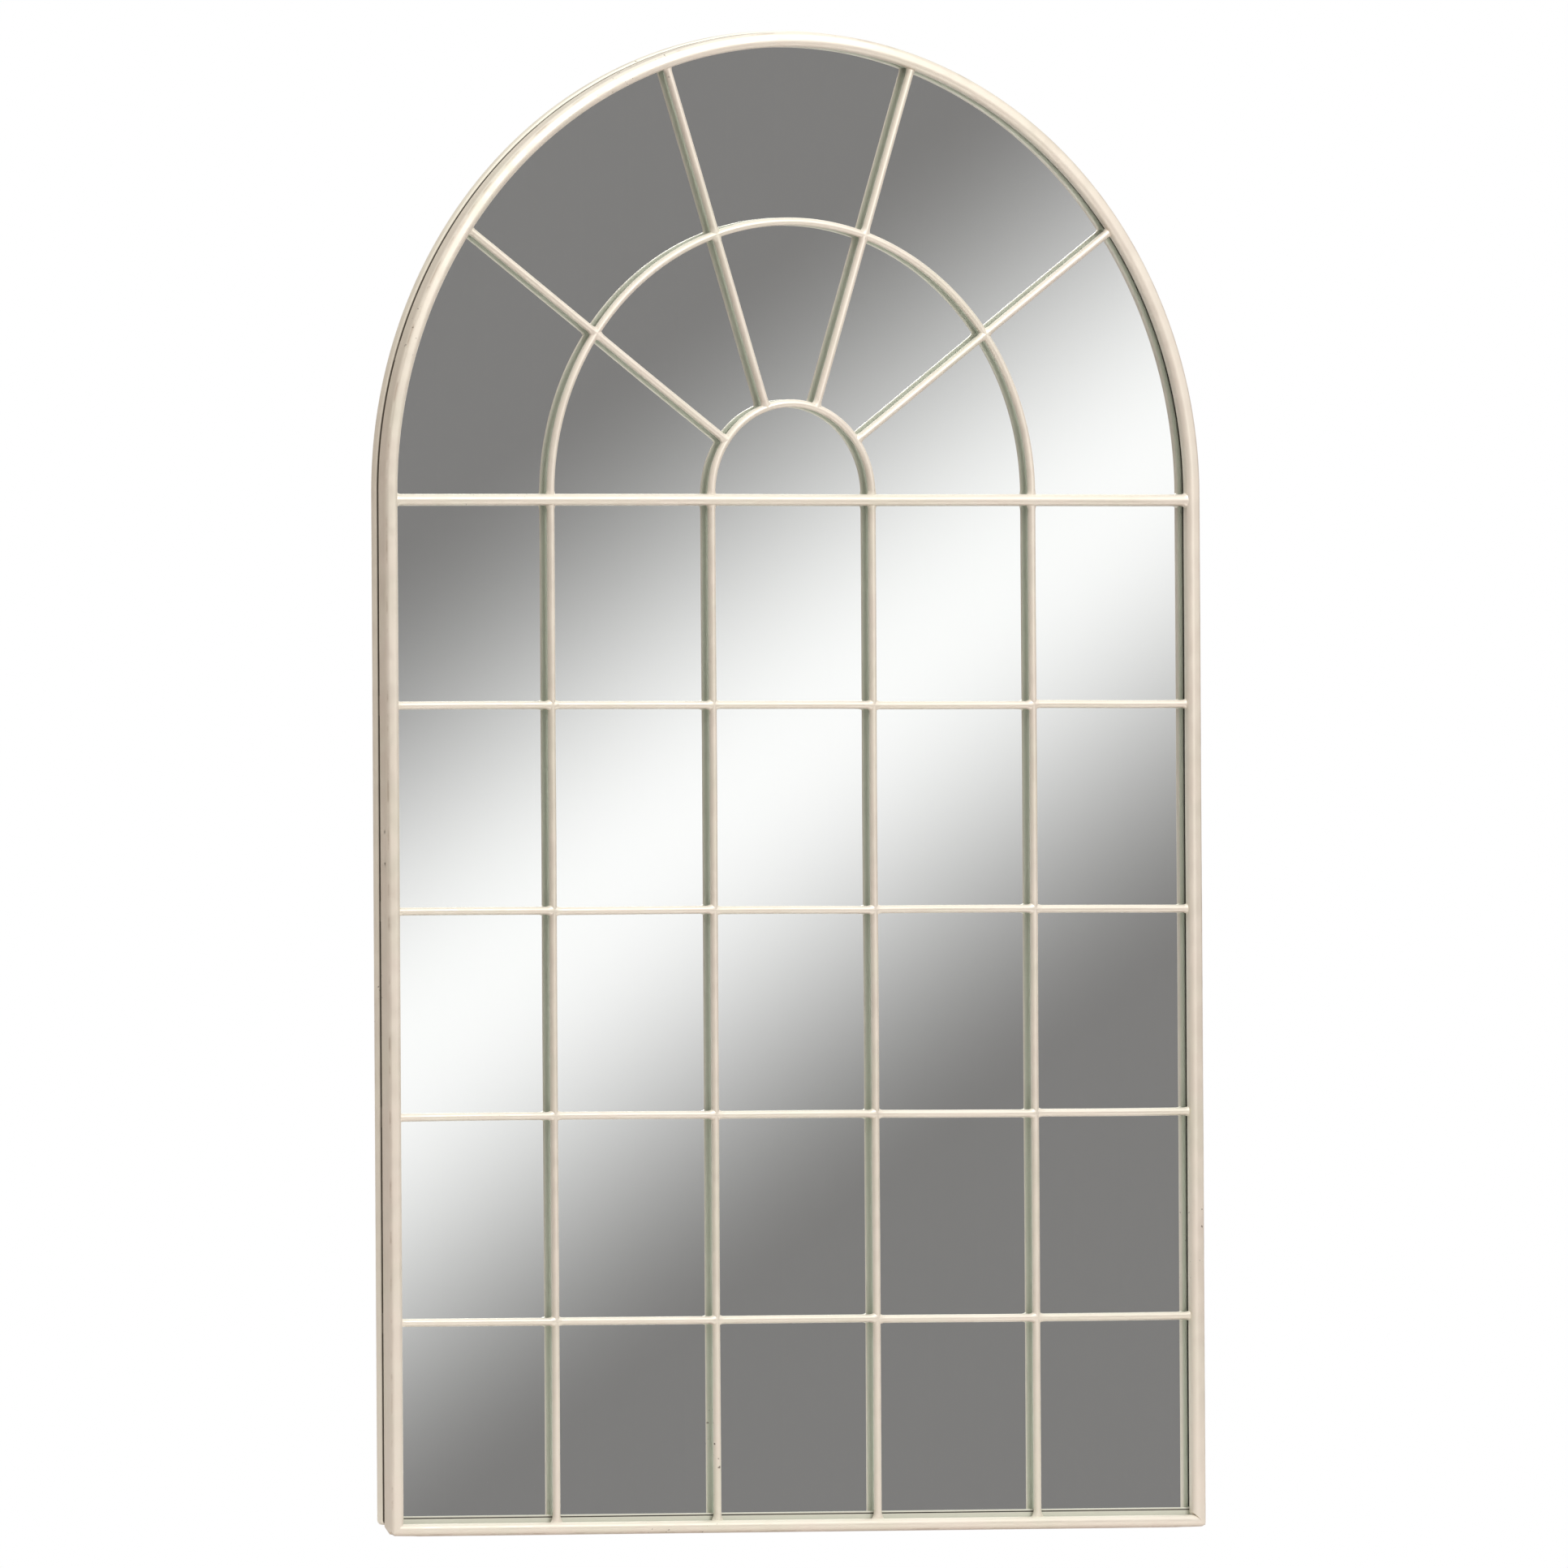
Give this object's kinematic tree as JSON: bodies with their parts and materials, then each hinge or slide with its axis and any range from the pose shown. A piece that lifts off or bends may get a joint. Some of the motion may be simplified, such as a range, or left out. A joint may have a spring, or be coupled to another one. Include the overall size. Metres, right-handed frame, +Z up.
{
  "type": "window mirror",
  "caption": "Arched mirror behind a welded window grille of round ivory-painted steel with a fanlight, on a stand-off rim with hanging rings at the back.",
  "frame": {"origin": "on the wall plane, at the middle of the rear rim's lower bar", "axes": "+Z up, +X to the right seen from the front, +Y into the wall; the front faces -Y"},
  "size_m": [1.112, 0.0382, 1.8],
  "materials": {
    "ivory_paint": "satin, lightly worn",
    "silvered_glass": "polished",
    "glazing_rubber": "matt",
    "hardboard": "bare pressed fibre",
    "zinc_plate": "zinc plated"
  },
  "bodies": {
    "frame": {"arch_skirt": "ivory_paint", "arch_tube": "ivory_paint", "backing_board": "hardboard", "board_lugs": "ivory_paint", "board_screws": "zinc_plate", "bottom_rail": "ivory_paint", "cross_bar_row_1_column_1": "ivory_paint", "cross_bar_row_1_column_2": "ivory_paint", "cross_bar_row_1_column_3": "ivory_paint", "cross_bar_row_1_column_4": "ivory_paint", "cross_bar_row_1_column_5": "ivory_paint", "cross_bar_row_2_column_1": "ivory_paint", "cross_bar_row_2_column_2": "ivory_paint", "cross_bar_row_2_column_3": "ivory_paint", "cross_bar_row_2_column_4": "ivory_paint", "cross_bar_row_2_column_5": "ivory_paint", "cross_bar_row_3_column_1": "ivory_paint", "cross_bar_row_3_column_2": "ivory_paint", "cross_bar_row_3_column_3": "ivory_paint", "cross_bar_row_3_column_4": "ivory_paint", "cross_bar_row_3_column_5": "ivory_paint", "cross_bar_row_4_column_1": "ivory_paint", "cross_bar_row_4_column_2": "ivory_paint", "cross_bar_row_4_column_3": "ivory_paint", "cross_bar_row_4_column_4": "ivory_paint", "cross_bar_row_4_column_5": "ivory_paint", "glass_ledge": "ivory_paint", "glazing_seal": "glazing_rubber", "hanger_rivets": "zinc_plate", "inner_spoke_1": "ivory_paint", "inner_spoke_2": "ivory_paint", "inner_spoke_3": "ivory_paint", "inner_spoke_4": "ivory_paint", "left_hanger_strap": "zinc_plate", "left_hanger_tab": "ivory_paint", "left_skirt": "ivory_paint", "left_stile": "ivory_paint", "middle_arc": "ivory_paint", "mirror_glass": "silvered_glass", "outer_spoke_1": "ivory_paint", "outer_spoke_2": "ivory_paint", "outer_spoke_3": "ivory_paint", "outer_spoke_4": "ivory_paint", "rear_rim": "ivory_paint", "right_hanger_strap": "zinc_plate", "right_hanger_tab": "ivory_paint", "right_skirt": "ivory_paint", "right_stile": "ivory_paint", "rim_spacers": "ivory_paint", "small_arc": "ivory_paint", "transom": "ivory_paint", "upright_bar_1": "ivory_paint", "upright_bar_2": "ivory_paint", "upright_bar_3": "ivory_paint", "upright_bar_4": "ivory_paint"},
    "left_ring": {"left_hanger_ring": "zinc_plate"},
    "right_ring": {"right_hanger_ring": "zinc_plate"}
  },
  "joints": [
    {"name": "left_ring_swing", "type": "hinge", "parent": "frame", "child": "left_ring", "pos_m": [-0.528, -0.00434, 1.132], "axis": [1, 0, 0], "range_deg": [0, 180]},
    {"name": "right_ring_swing", "type": "hinge", "parent": "frame", "child": "right_ring", "pos_m": [0.528, -0.00434, 1.132], "axis": [1, 0, 0], "range_deg": [0, 180]}
  ]
}
